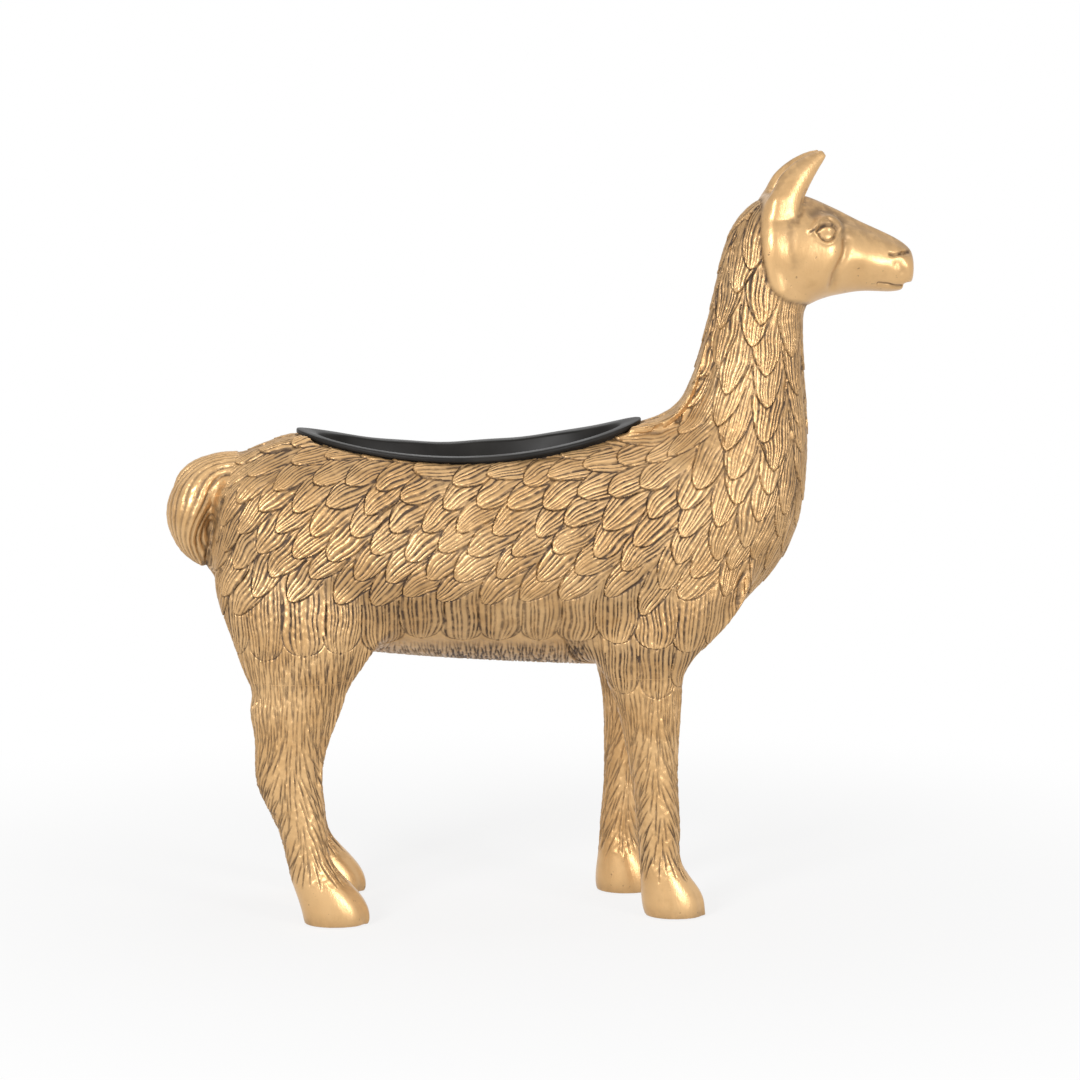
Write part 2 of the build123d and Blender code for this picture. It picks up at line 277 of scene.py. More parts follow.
# How a tuft is carved, in shares of its length, width or strands
ROOT_BEHIND = -0.5
OUTLINE_START = 0.2
ROUNDING = 0.35
STRAND_START = 0.35
STRAND_SWAY = 0.12
STRAND_BUNCHING = 0.2
TIP_FADE = 0.6
FACING = 0.15
CREST = 0.95

# Widths and depths of lines
OUTLINE = 1.05
OUTLINE_DEPTH = 0.6
STRAND_DEPTH = 0.8
HAIR_DEPTH = 0.6
TAIL_DEPTH = 0.8
CREASE_DEPTH = 1.0
FACE_EDGE_DEPTH = 0.5
FACE_EDGE_WIDTH = 1.2
TAIL_CREASE_WIDTH = 1.3

# Hand-made unevenness: how far lines wander and over what length, and the lumps on the ridges
WARP = 0.6
WARP_LENGTH = 8.0
LUMP = 0.10
LUMP_LENGTH = 1.5

# Modelling of the face on the side view: line of the stroke, its half width and its rise
FACE_STROKES = {
    "ear column": (((116, 362), (115, 345), (116, 330), (121, 318)), 4.5, 1.1),
    "valley behind the cheek": (((125, 352), (124, 340), (126, 330)), 3.0, -0.5),
    "ear root": (((133.8, 366), (131.6, 360), (129.0, 354.5), (128.1, 352.0)), 1.6, -0.9),
    "upper lid": (
        ((135.4, 347.4), (138.0, 350.9), (141.2, 352.7), (145.0, 352.7), (148.0, 351.0), (149.9, 348.4)),
        2.1,
        2.0,
    ),
    "lid edge": (
        ((137.6, 346.8), (139.8, 349.1), (143.0, 350.2), (146.2, 349.4), (148.2, 347.4)),
        0.7,
        -1.3,
    ),
    "lower lid edge": (
        ((138.6, 345.9), (140.4, 343.2), (143.2, 342.2), (146.2, 343.7), (147.8, 346.2)),
        0.7,
        -1.0,
    ),
    "lower lid": (((137.2, 345.2), (139.9, 341.8), (143.2, 340.7), (146.9, 342.5)), 1.1, 0.6),
    # Painted shadow of the lid on the eyeball, with a dent of 0.15 mm
    "shade on the eyeball": (((141.8, 345.6), (144.8, 346.2)), 2.8, -0.15),
    "corner of the eye": (((134.2, 346.4), (137.0, 348.2)), 0.7, -0.5),
    "hollow over the brow": (((136.4, 355.6), (142.5, 357.4), (149.2, 355.0), (153.0, 350.7)), 2.2, -0.7),
    "hollow before the eye": (((151.0, 348.0), (153.0, 343.0)), 2.6, -0.7),
    "cheek": (((146.0, 340.0), (145.0, 333.0), (142.0, 327.0), (140.0, 321.0)), 5.0, 0.9),
    "cheek crease": (
        ((153.2, 341.5), (152.4, 336.3), (150.4, 331.2), (147.8, 326.0), (146.6, 319.6)),
        2.2,
        -1.5,
    ),
    "muzzle": (((162.0, 333.0), (170.0, 329.0)), 6.0, 0.8),
    "nostril": (((176.4, 334.8), (178.6, 334.5), (182.4, 335.2), (188.0, 336.0)), 0.8, -0.9),
    "under the nostril": (((180.5, 330.0), (183.0, 326.0)), 2.6, -0.7),
    "mouth": (((171.0, 319.9), (175.1, 319.5), (180.8, 318.2), (188.0, 318.6)), 0.75, -1.3),
}
FACE_DARK_WIDTH = 1.4

# Strength of the brown wash, and of the painted shade at the roots of the tufts, in the hollows of the
# face, under the belly, at the bottom of the hooves and on top of the face
ROOT_SHADE = 0.3
HAIR_WASH = 0.9
FACE_EDGE_WASH = 0.5
FACE_LINE_WASH = 0.8
FACE_HOLLOW_WASH_AND_SHADE = 0.3
BROW_SHADE = 0.4
BELLY_WASH_AND_SHADE = 0.25
HOOF_SHADE = 0.3


# Mesh helpers

def read_points(mesh):
    flat = np.empty(len(mesh.vertices) * 3)
    mesh.vertices.foreach_get("co", flat)
    return flat.reshape(-1, 3) / MM


def write_points(mesh, points):
    mesh.vertices.foreach_set("co", (points * MM).ravel())
    mesh.update()


def read_normals(mesh):
    flat = np.empty(len(mesh.vertices) * 3)
    mesh.vertex_normals.foreach_get("vector", flat)
    return flat.reshape(-1, 3)


def read_edges(mesh):
    flat = np.empty(len(mesh.edges) * 2, dtype=np.int32)
    mesh.edges.foreach_get("vertices", flat)
    return flat.reshape(-1, 2)


def read_triangles(mesh):
    mesh.calc_loop_triangles()
    flat = np.empty(len(mesh.loop_triangles) * 3, dtype=np.int32)
    mesh.loop_triangles.foreach_get("vertices", flat)
    return flat.reshape(-1, 3)


def new_mesh(name, points, faces):
    mesh = bpy.data.meshes.new(name)
    mesh.from_pydata((np.asarray(points, dtype=float) * MM).tolist(), [], faces)
    return mesh


def show(name, mesh):
    piece = bpy.data.objects.new(name, mesh)
    bpy.context.scene.collection.objects.link(piece)
    return piece


def joined(meshes):
    points = []
    triangles = []
    count = 0
    for mesh in meshes:
        corners = read_points(mesh)
        points.append(corners)
        triangles.append(read_triangles(mesh) + count)
        count += len(corners)
    return new_mesh("joined", np.concatenate(points), np.concatenate(triangles).tolist())


def with_modifier(mesh, kind, **settings):
    """New mesh with one modifier applied."""
    piece = show("work", mesh)
    modifier = piece.modifiers.new("work", kind)
    for name, value in settings.items():
        setattr(modifier, name, value)
    shape = piece.evaluated_get(bpy.context.evaluated_depsgraph_get())
    out = bpy.data.meshes.new_from_object(shape)
    bpy.data.objects.remove(piece)
    return out


def cut(mesh, operation, cutter_mesh):
    cutter = show("cutter", cutter_mesh)
    out = with_modifier(mesh, "BOOLEAN", operation=operation, object=cutter, solver="MANIFOLD")
    bpy.data.objects.remove(cutter)
    return out


def fused(names, more, voxel):
    """One skin of voxels round the named CAD castings and some more meshes."""
    meshes = [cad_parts[name].data for name in names] + more
    return with_modifier(joined(meshes), "REMESH", mode="VOXEL", voxel_size=voxel * MM)


def islands(count, edges):
    """Number of the connected surface that each vertex belongs to."""
    label = np.arange(count)
    while True:
        low = np.minimum(label[edges[:, 0]], label[edges[:, 1]])
        lower = label.copy()
        np.minimum.at(lower, edges[:, 0], low)
        np.minimum.at(lower, edges[:, 1], low)
        lower = lower[lower[lower]]
        if np.array_equal(lower, label):
            return label
        label = lower


def outer_surface(mesh):
    """The surface of quads that holds the rearmost vertex, without the walls of hollows inside it."""
    points = read_points(mesh)
    corners = np.empty(len(mesh.loops), dtype=np.int32)
    mesh.loops.foreach_get("vertex_index", corners)
    quads = corners.reshape(-1, 4)
    label = islands(len(points), read_edges(mesh))
    kept = label == label[np.argmin(points[:, 0])]
    number = np.cumsum(kept) - 1
    return new_mesh("skin", points[kept], number[quads[kept[quads[:, 0]]]].tolist())


def subdivided(mesh):
    return with_modifier(mesh, "SUBSURF", levels=1, render_levels=1)


def smoothed(points, edges, weights, rounds):
    """Points drawn towards the middle of their neighbours, each by its weight, several times over."""
    count = len(points)
    first = np.concatenate([edges[:, 0], edges[:, 1]])
    second = np.concatenate([edges[:, 1], edges[:, 0]])
    neighbours = np.maximum(np.bincount(first, minlength=count), 1)
    for _ in range(rounds):
        total = np.empty_like(points)
        for axis in range(3):
            total[:, axis] = np.bincount(first, weights=points[second, axis], minlength=count)
        mean = total / neighbours[:, None]
        points = points + (mean - points) * (0.5 * weights)[:, None]
    return points


def ramp(value, low, high):
    """Smooth step from zero at low to one at high."""
    share = np.clip((value - low) / (high - low), 0, 1)
    return share * share * (3 - 2 * share)


def unit(vectors):
    return vectors / np.maximum(np.linalg.norm(vectors, axis=-1, keepdims=True), 1e-9)


def ripple(points, length):
    """Smooth wandering value, mostly between -1 and 1, that changes over about the given length."""
    x, y, z = points.T / length
    first = np.sin(1.7 * x + 2.1 * np.sin(1.3 * z + 0.9 * y))
    second = np.sin(1.9 * z + 1.7 * np.sin(1.1 * y - 1.5 * x))
    return (first + second) / 2


def along_surface(direction, normals):
    """The direction laid flat on the surface at each point."""
    return unit(direction - normals * np.sum(direction * normals, axis=1)[:, None])


def set_attribute(mesh, name, values):
    layer = mesh.attributes.new(name, "FLOAT", "POINT")
    layer.data.foreach_set("value", values.astype(np.float32))


# Opening in the back

def rim_curve():
    """Height of the liner's rim top along X, as a curve through the highest points of the liner."""
    points = read_points(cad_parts["liner"].data)
    stations = np.linspace(points[:, 0].min(), points[:, 0].max(), RIM_STATIONS)
    middles = []
    tops = []
    for left, right in zip(stations[:-1], stations[1:]):
        inside = (points[:, 0] >= left) & (points[:, 0] <= right)
        if inside.any():
            middles.append((left + right) / 2)
            tops.append(points[inside, 2].max())
    return np.poly1d(np.polyfit(middles, tops, 2))


def oval(inset):
    """X and Y of the points round the opening, set in from the edge of the liner's rim."""
    low, high = (np.array(corner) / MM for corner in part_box("liner"))
    middle = (low + high) / 2
    half = (high - low) / 2
    angles = np.linspace(0, 2 * math.pi, OVAL_STEPS, endpoint=False)
    x = middle[0] + (half[0] - inset) * np.cos(angles)
    y = middle[1] + (half[1] - inset) * np.sin(angles)
    return x, y


def stacked(name, rings):
    """Closed surface through rings of equal count, capped at both ends."""
    count = len(rings[0])
    points = np.concatenate(rings + [rings[0].mean(axis=0)[None], rings[-1].mean(axis=0)[None]])
    first_cap = len(rings) * count
    last_cap = first_cap + 1
    last_ring = first_cap - count
    faces = []
    for ring in range(len(rings) - 1):
        for step in range(count):
            after = (step + 1) % count
            low, high = ring * count, (ring + 1) * count
            faces.append((low + step, low + after, high + after, high + step))
    for step in range(count):
        after = (step + 1) % count
        faces.append((after, step, first_cap))
        faces.append((last_ring + step, last_ring + after, last_cap))
    return new_mesh(name, points, faces)


def oval_ring(inset, height):
    """Ring of points round the opening; height is a function of X."""
    x, y = oval(inset)
    return np.stack([x, y, height(x)], axis=1)


def opening_lid(rim):
    """Block that closes the opening while the castings are fused."""
    lowest = -rim[1] / (2 * rim[2])
    bottom = np.poly1d([rim(lowest) - LID_THICKNESS])
    top = rim - SEAT_BELOW_RIM - LID_BELOW_SEAT
    return stacked("lid", [oval_ring(LID_INSET, bottom), oval_ring(LID_INSET, top)])


def opening_cutter(rim):
    """Block that cuts the opening; its ring below the seat keeps the wash of the fleece off the wall."""
    floor = np.poly1d([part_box("liner")[0][2] / MM - CUT_BELOW_LINER])
    wall_top = rim - SEAT_BELOW_RIM - LID_BELOW_SEAT - CUT_EDGE
    rings = [oval_ring(CUT_INSET + CUT_DRAFT, floor), oval_ring(CUT_INSET, wall_top)]
    return stacked("opening", rings + [oval_ring(CUT_INSET, rim + LID_THICKNESS)])


def prism(outline, low_y, high_y):
    """Closed block with the given outline on the side view, drawn anticlockwise seen from the right."""
    near = np.array([(x, low_y, z) for x, z in outline], dtype=float)
    far = np.array([(x, high_y, z) for x, z in outline], dtype=float)
    return stacked("prism", [far, near])


# Flow of the fleece

def flow_on(points, normals):
    """Way the fleece lies at each point, taken from the strokes near it."""
    total = np.zeros((len(points), 3))
    for x, z, along, up in FLOW_GUIDES:
        gap = np.hypot(points[:, 0] - x, points[:, 2] - z)
        weight = np.exp(-(gap / FLOW_REACH) ** 2) + 1e-9
        total[:, 0] += weight * along
        total[:, 2] += weight * up
    return along_surface(unit(total), normals)


def down_on(normals):
    return along_surface(np.tile((0.0, 0.0, -1.0), (len(normals), 1)), normals)


def hair_flow_on(points, normals):
    """Hair of the legs lies downwards, away from the middle line of each side."""
    lean = np.zeros((len(points), 3))
    lean[:, 2] = -1
    lower = 1 - ramp(points[:, 2], *HAIR_PARTING)
    off_middle = np.sign(normals[:, 0]) * ramp(np.abs(normals[:, 0]), 0.02, 0.35)
    lean[:, 0] = HAIR_LEAN * lower * off_middle
    return along_surface(lean, normals)


# Tufts

def cell_lists(points):
    """Indices of the points in each cell of a grid, by the cell's place in it."""
    keys = np.floor(points / CELL).astype(np.int64)
    order = np.lexsort(keys.T)
    keys = keys[order]
    starts = np.flatnonzero(np.any(np.diff(keys, axis=0) != 0, axis=1)) + 1
    lists = {}
    for group in np.split(np.arange(len(order)), starts):
        lists[tuple(keys[group[0]])] = order[group]
    return lists


def near_indices(lists, place, reach):
    """Indices of the points in the cells that lie within reach of a place."""
    low = np.floor((place - reach) / CELL).astype(int)
    high = np.floor((place + reach) / CELL).astype(int)
    found = [np.empty(0, dtype=int)]
    for i in range(low[0], high[0] + 1):
        for j in range(low[1], high[1] + 1):
            for k in range(low[2], high[2] + 1):
                found.append(lists.get((i, j, k), found[0]))
    return np.concatenate(found)


def spaced(points, normals, order, down_gap, row_gap):
    """Picks points in the given order that keep their distance down the animal and along the row."""
    lists = cell_lists(points)
    downs = down_on(normals)
    reach = max(np.max(down_gap), np.max(row_gap))
    free = np.ones(len(points), dtype=bool)
    picked = []
    for index in order:
        if not free[index]:
            continue
        picked.append(index)
        near = near_indices(lists, points[index], reach)
        steps = points[near] - points[index]
        down = steps @ downs[index]
        row_squared = np.sum(steps * steps, axis=1) - down * down
        inside = (down / down_gap[index]) ** 2 + row_squared / row_gap[index] ** 2 < 1
        free[near[inside]] = False
    return np.array(picked, dtype=int)


def mixed(first, second, share):
    return {name: first[name] + (second[name] - first[name]) * share for name in first}


def make_tufts(points, normals, flows, style):
    """Tufts rooted at the given points; style holds their mean sizes."""
    count = len(points)

    def vary(amount):
        return 1 + amount * random.uniform(-1, 1, count)

    turn = style["turn"] * random.uniform(-1, 1, count)
    flows = unit(flows + np.cross(normals, flows) * turn[:, None])
    side = np.cross(normals, flows)
    return {
        "root": points,
        "normal": normals,
        "flow": flows,
        "side": side,
        "length": style["length"] * vary(SIZE_SPREAD),
        "half_width": style["half_width"] * vary(SIZE_SPREAD),
        "strands": np.round(style["strands"] * vary(STRAND_SPREAD)),
        "phase": random.uniform(0, 1, count),
        "lift": style["lift"] * vary(LIFT_SPREAD),
        "bend": style["bend"] * vary(BEND_SPREAD) * -np.sign(side[:, 2]),
        "blunt": style["blunt"] + np.zeros(count),
        "rank": style["rank"] + np.zeros(count),
    }


def all_tufts(groups):
    return {name: np.concatenate([group[name] for group in groups]) for name in groups[0]}


def leaf_half_width(share, half_width, blunt):
    inside = np.clip(share, 0, 1)
    pointed = (1 - inside ** 2.4) ** 0.75
    rounded = np.sqrt(1 - inside ** 6)
    return half_width * (pointed * (1 - blunt) + rounded * blunt) + 1e-6


def tuft_coordinates(tufts, index, points, normals, near):
    """Share along the tuft, distance across it and half width there, for the points that face its way."""
    step = points[near] - tufts["root"][index]
    away = step @ tufts["normal"][index]
    facing = (normals[near] @ tufts["normal"][index] > FACING) & (np.abs(away) < CELL)
    near, step = near[facing], step[facing]
    share = step @ tufts["flow"][index] / tufts["length"][index]
    across = step @ tufts["side"][index] - tufts["bend"][index] * share * share
    half = leaf_half_width(share, tufts["half_width"][index], tufts["blunt"][index])
    return near, share, across, half


def chance(first, second):
    """Number from 0 to 1 that is fixed by two whole numbers."""
    return (np.sin(first * 12.9898 + second * 78.233) * 43758.5453) % 1


def topmost_tufts(points, normals, tufts):
    """Which tuft lies on top at each point, its score there, the share of its width, and the outlines.

    The score is the tuft's rank plus the share along it, so of one rank the tuft with the nearest tip wins.
    """
    count = len(points)
    lists = cell_lists(points)
    warp = WARP * ripple(points, WARP_LENGTH)
    top = np.full(count, -1.0)
    across_share = np.zeros(count)
    owner = np.full(count, -1)
    kept = []
    for index in range(len(tufts["length"])):
        near = near_indices(lists, tufts["root"][index], tufts["length"][index] + 2 * OUTLINE)
        near, share, across, half = tuft_coordinates(tufts, index, points, normals, near)
        across = across + warp[near]
        beyond = (share - 1) * tufts["length"][index]
        gap = np.where(share > 1, np.hypot(np.maximum(beyond, 0), across), np.abs(across) - half)
        close = (share > ROOT_BEHIND) & (gap < OUTLINE)
        near, share, across, half, gap = (values[close] for values in (near, share, across, half, gap))
        score = share + tufts["rank"][index]
        kept.append((near, share, gap, score))
        inside = (share < 1) & (gap < 0) & (score > top[near])
        chosen = near[inside]
        top[chosen] = score[inside]
        across_share[chosen] = across[inside] / (0.6 * half[inside] + 0.4 * tufts["half_width"][index])
        owner[chosen] = index
    outline = np.zeros(count)
    for near, share, gap, score in kept:
        edge = (gap > 0) & (share > OUTLINE_START) & (score > top[near])
        chosen = near[edge]
        outline[chosen] = np.maximum(outline[chosen], 1 - (gap[edge] / OUTLINE) ** 2)
    return owner, top, across_share, outline


def carve_tufts(points, normals, tufts):
    """Height of the carving of the tufts at each point, and its darkness: brown wash in the lines, painted
    shade towards each root.
    """
    owner, top, across_share, outline = topmost_tufts(points, normals, tufts)
    covered = owner >= 0
    who = np.where(covered, owner, 0)
    share = np.where(covered, np.clip(top - tufts["rank"][who], 0, 1), 0)
    phase = tufts["phase"][who]
    sway = STRAND_SWAY * np.sin(2 * math.pi * (1.4 * share + phase))
    strand = across_share * tufts["strands"][who] / 2 + phase + sway
    strand = strand + STRAND_BUNCHING * np.sin(2 * math.pi * (0.31 * strand + 3 * phase))
    luck = chance(np.floor(strand), who)
    off_ridge = np.abs(strand % 1 - 0.5) * 2
    start = STRAND_START * luck
    strength = (0.5 + 0.5 * luck) * ramp(share, start - STRAND_START, start)
    strength = np.where(covered, strength * (1 - TIP_FADE * ramp(share, 0.85, 1.0)), 0)
    rise = tufts["lift"][who] * (share ** 1.3 - CREST - ROUNDING * across_share ** 2)
    grooves = STRAND_DEPTH * strength * off_ridge ** 2 + OUTLINE_DEPTH * outline
    # The lines take brown wash; the darkening towards each tuft's root is painted shade under the tips of
    # the tufts above
    dark = strength * ramp(off_ridge, 0.4, 0.8) + outline + ROOT_SHADE * (1 - share) * covered
    return np.where(covered, rise, 0) - grooves, np.clip(dark, 0, 1)


def carve_hair(points, normals, hairs):
    """Depth share of thin tapered strokes."""
    lists = cell_lists(points)
    depth = np.zeros(len(points))
    for index in range(len(hairs["length"])):
        middle = hairs["root"][index] + hairs["flow"][index] * hairs["length"][index] / 2
        near = near_indices(lists, middle, hairs["length"][index] / 2)
        near, share, across, _ = tuft_coordinates(hairs, index, points, normals, near)
        width = hairs["half_width"][index]
        inside = (share > 0) & (share < 1) & (np.abs(across) < width)
        taper = np.sin(math.pi * share[inside]) ** 0.5
        chosen = near[inside]
        depth[chosen] = np.maximum(depth[chosen], taper * (1 - (across[inside] / width) ** 2))
    return depth


def fleece_tufts(points, normals):
    wool = np.flatnonzero(points[:, 2] > SKIRT_TOP + WOOL_ABOVE_SKIRT)
    wool = wool[(behind_crease(points[wool]) < 0) & (inside_face(points[wool]) < 0)]
    points, normals = points[wool], normals[wool]
    neck = ramp(points[:, 2] + NECK_LEAN * points[:, 0], *NECK_BAND)
    down_gap = FLEECE_GAPS[0] + (NECK_GAPS[0] - FLEECE_GAPS[0]) * neck
    row_gap = FLEECE_GAPS[1] + (NECK_GAPS[1] - FLEECE_GAPS[1]) * neck
    picked = spaced(points, normals, np.argsort(-points[:, 2]), down_gap, row_gap)
    style = mixed(FLEECE, NECK, neck[picked])
    points, normals = points[picked], normals[picked]
    return make_tufts(points, normals, flow_on(points, normals), style)


def scallops(points, normals, tip_height, style, chosen):
    """A row of scallops whose tips lie at the given height."""
    root_height = tip_height + style["length"] * SCALLOP_DROP
    band = np.flatnonzero((np.abs(points[:, 2] - root_height) < SCALLOP_BAND) & chosen)
    points, normals = points[band], normals[band]
    ones = np.ones(len(band))
    order = np.argsort(points[:, 0])
    picked = spaced(points, normals, order, SKIRT_GAPS[0] * ones, SKIRT_GAPS[1] * ones)
    return make_tufts(points[picked], normals[picked], down_on(normals[picked]), style)


def leg_hairs(points, normals):
    below_hem = points[:, 2] < HEM_HEIGHT + HAIR_ABOVE_HEM
    above_hoof = points[:, 2] > HOOF_TOP + HAIR_ABOVE_HOOF
    haired = np.flatnonzero(below_hem & above_hoof)
    points, normals = points[haired], normals[haired]
    ones = np.ones(len(haired))
    order = random.permutation(len(haired))
    picked = spaced(points, normals, order, HAIR_GAPS[0] * ones, HAIR_GAPS[1] * ones)
    points, normals = points[picked], normals[picked]
    return make_tufts(points, normals, hair_flow_on(points, normals), HAIR)


# Tail and face

def behind_crease(points):
    """How far each point lies behind the crease of the tail; points below its end count as before it."""
    line = np.array(TAIL_CREASE[::-1], dtype=float)
    gap = np.interp(points[:, 2], line[:, 1], line[:, 0]) - points[:, 0]
    return np.where((points[:, 2] > line[0, 1]) & (points[:, 0] < TAIL_FRONT), gap, -1)


def curved(line):
    """Points of a smooth curve through the points of a line."""
    line = np.array(line, dtype=float)
    padded = np.concatenate([2 * line[:1] - line[1:2], line, 2 * line[-1:] - line[-2:-1]])
    share = np.linspace(0, 1, CURVE_STEPS, endpoint=False)[:, None]
    pieces = []
    for before, start, end, after in zip(padded, padded[1:], padded[2:], padded[3:]):
        bend = (2 * before - 5 * start + 4 * end - after) * share ** 2
        twist = (3 * start - 3 * end + after - before) * share ** 3
        pieces.append(start + ((end - before) * share + bend + twist) / 2)
    return np.concatenate(pieces + [line[-1:]])


def line_distance(points, line):
    """Distance on the side view to a curve, share along it, and how far each point is off to its right."""
    flat = points[:, (0, 2)]
    nearest = np.full(len(points), np.inf)
    place = np.zeros(len(points))
    offset = np.zeros(len(points))
    length = 0.0
    line = curved(line)
    for start, end in zip(line[:-1], line[1:]):
        run = end - start
        size = np.linalg.norm(run)
        share = np.clip((flat - start) @ run / size ** 2, 0, 1)
        gap = flat - start - share[:, None] * run
        distance = np.linalg.norm(gap, axis=1)
        closer = distance < nearest
        nearest[closer] = distance[closer]
        place[closer] = length + share[closer] * size
        offset[closer] = gap[closer] @ np.array((run[1], -run[0])) / size
        length += size
    return nearest, place / length, offset


def inside_face(points):
    """How far each point lies inside the border of the face on the side view; below zero in the fleece."""
    depth = np.full(len(points), FAR_OUTSIDE)
    before_nape = points[:, 0] > HEAD_BACK - JAW_RADIUS
    around = np.flatnonzero(before_nape & (points[:, 2] > HEAD_BOTTOM - JAW_RADIUS))
    distance, _, offset = line_distance(points[around], FACE_EDGE)
    depth[around] = np.where(offset < 0, distance, -distance)
    return depth


def carve_tail(points):
    """Depth share of long grooves that follow the tail from its root to its tip."""
    _, place, offset = line_distance(points, TAIL_LINE)
    turn = np.arctan2(points[:, 1], offset) / (2 * math.pi)
    sway = 0.5 * np.sin(9 * place + 4 * np.abs(turn) * math.pi)
    groove = turn * TAIL_GROOVES + sway
    luck = chance(np.floor(groove), np.floor(3 * place + 0.5 * np.floor(groove)))
    valley = ramp(np.abs(groove % 1 - 0.5) * 2, 0.3, 0.9)
    return valley * (0.35 + 0.65 * luck)


def carve_face(points, normals):
    """Rise and darkness of the modelling of the face, the same on both sides of the head: brown wash in the
    lines, wash with painted shade in the hollows, painted shadow of the lid on the eyeball.
    """
    rise = np.zeros(len(points))
    dark = np.zeros(len(points))
    depth = inside_face(points)
    face = np.flatnonzero(depth > -1)
    sideways = ramp(np.abs(normals[face, 1]), 0.15, 0.5) * ramp(depth[face], -1, 1)
    for line, half_width, amount in FACE_STROKES.values():
        distance, _, _ = line_distance(points[face], line)
        reach = np.exp(-(distance / half_width) ** 2) * sideways
        rise[face] += amount * reach
        if amount < 0:
            # Narrow dents take brown wash; wide ones take brown wash with painted shade, and on the eyeball
            # the painted shadow of the lid
            wash = FACE_LINE_WASH if half_width < FACE_DARK_WIDTH else FACE_HOLLOW_WASH_AND_SHADE
            dark[face] = np.maximum(dark[face], wash * reach)
    return rise, dark


# Skins

def swelling(middle, radii):
    """Closed ball, stretched along the axes."""
    angles = np.linspace(0, 2 * math.pi, OVAL_STEPS, endpoint=False)
    rings = []
    for tilt in np.linspace(-0.49 * math.pi, 0.49 * math.pi, BALL_RINGS):
        around = np.stack([np.cos(angles), np.sin(angles), np.full(OVAL_STEPS, math.tan(tilt))], axis=1)
        rings.append(np.array(middle) + around * math.cos(tilt) * np.array(radii))
    return stacked("swelling", rings)


def whole_form():
    """All the gold castings in one smooth skin, without carving."""
    names = ["body_shell", "tail", "head", "ear_left", "ear_right", "neck_dowel"]
    for leg in LEGS:
        names += ["leg_" + leg, "leg_rod_" + leg]
    fillers = [swelling(middle, radii) for middle, radii in TAIL_SWELLINGS]
    mesh = outer_surface(fused(names, fillers + [opening_lid(rim_curve())], SKIN_VOXEL))
    points, edges = read_points(mesh), read_edges(mesh)
    face = ramp(inside_face(points), *FACE_FIRM)
    weights = ramp(points[:, 2], *SOLE_BAND) * (1 - 0.6 * face)
    points = smoothed(points, edges, weights, int(SMOOTHING / SKIN_VOXEL))
    points = smoothed(points, edges, joint_weights(points, face), int(BLENDING / SKIN_VOXEL ** 2))
    write_points(mesh, points)
    return mesh


def joint_weights(points, face):
    """How far each point is smoothed where castings meet: at the legs, the tail, the jaw and the ears."""
    stumps = ramp(points[:, 2], *JOINT_BLEND_LOW) * (1 - ramp(points[:, 2], *JOINT_BLEND_HIGH))
    from_root = points[:, (0, 2)] - np.array(TAIL_CREASE[1])
    tail_root = np.exp(-np.sum((from_root / np.array(TAIL_ROOT_REACH)) ** 2, axis=1))
    jaw = np.exp(-(inside_face(points) / JAW_REACH) ** 2)
    above_root = (points[:, 2] - EAR_ROOT_HEIGHT) / EAR_ROOT_REACH
    ear_roots = EAR_ROOT_SHARE * face * np.exp(-above_root ** 2)
    return np.max([stumps, tail_root, jaw, ear_roots], axis=0)


def painted_shade_and_wash(points, normals, face_depth):
    """Painted shade under the belly, where there is brown wash too, along the bottom of the hooves and on
    top of the face.
    """
    # Under the belly: brown wash with painted shade on the faces turned downwards
    belly = ramp(points[:, 0], *BELLY_REAR) * (1 - ramp(points[:, 0], *BELLY_FRONT))
    downward = ramp(-normals[:, 2], 0.2, 0.8) * ramp(points[:, 2], *BELLY_BOTTOM)
    # Painted shade along the bottom of the hooves, darker towards the floor
    hooves = 1 - ramp(points[:, 2], 0, HOOF_SHADE_TOP)
    # Painted shade on the parts of the face that turn upwards
    brow = ramp(normals[:, 2], 0.0, 0.7) * ramp(face_depth, 0, 4)
    return BELLY_WASH_AND_SHADE * belly * downward + HOOF_SHADE * hooves + BROW_SHADE * brow


